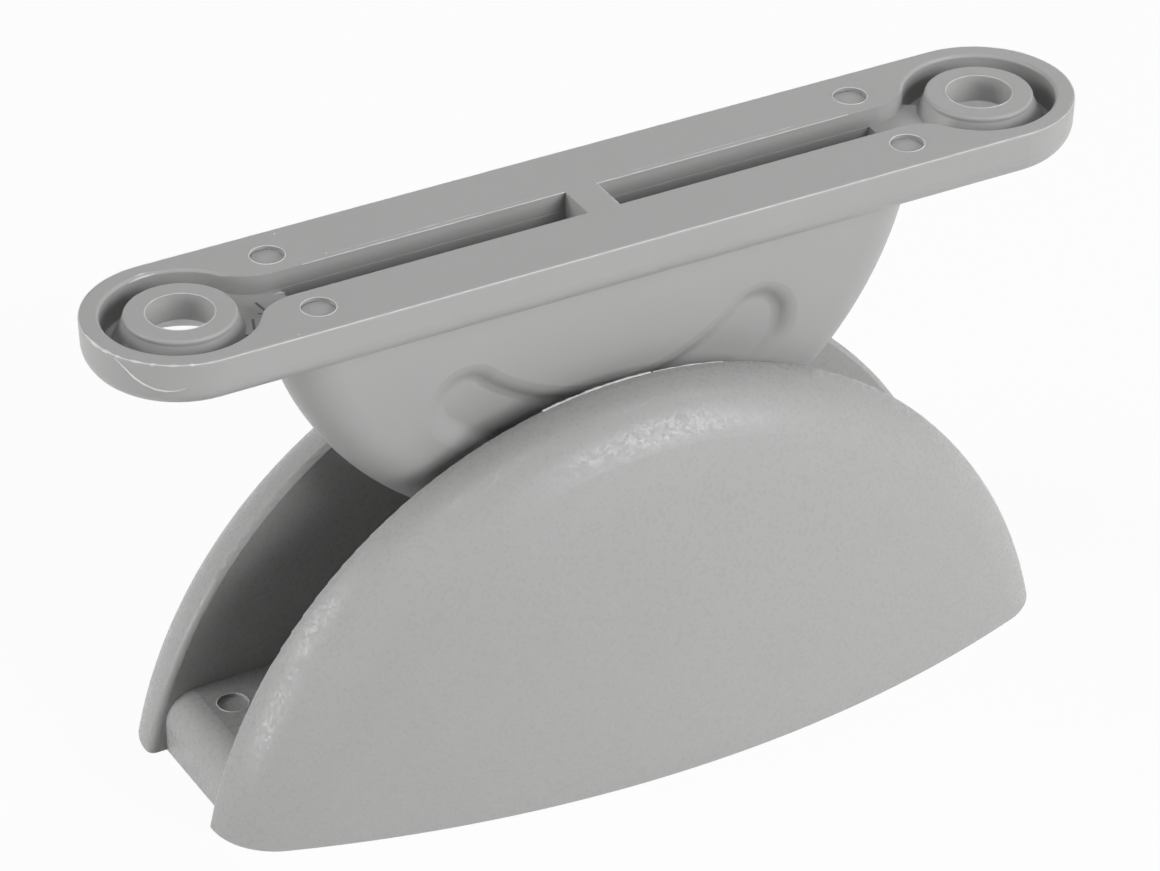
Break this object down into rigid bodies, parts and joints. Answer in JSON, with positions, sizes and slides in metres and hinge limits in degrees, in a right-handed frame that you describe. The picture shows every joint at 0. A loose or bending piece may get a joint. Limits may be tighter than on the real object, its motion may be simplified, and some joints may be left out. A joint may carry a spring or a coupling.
{
  "type": "caravan door catch",
  "caption": "Snap-in door catch: a screw-on plate with a half-round grooved tongue that drops between the domed jaws of a screw-on receiver.",
  "frame": {"origin": "middle of the receiver's mounting face", "axes": "+X along the plate, +Y across the two jaws, +Z from the receiver's mounting face to the plate's back face"},
  "size_m": [0.08, 0.0318, 0.0404],
  "materials": {
    "tongue_plastic": "smooth satin grey, as moulded",
    "receiver_plastic": "satin grey with a fine spark-eroded grain on the outer faces"
  },
  "bodies": {
    "receiver": {"jaw_receiver": "receiver_plastic"},
    "tongue": {"tongue_plate": "tongue_plastic"}
  },
  "joints": [
    {"name": "tongue_slide", "type": "slide", "parent": "receiver", "child": "tongue", "axis": [0, 0, 1], "range_m": [0, 0.03]}
  ]
}
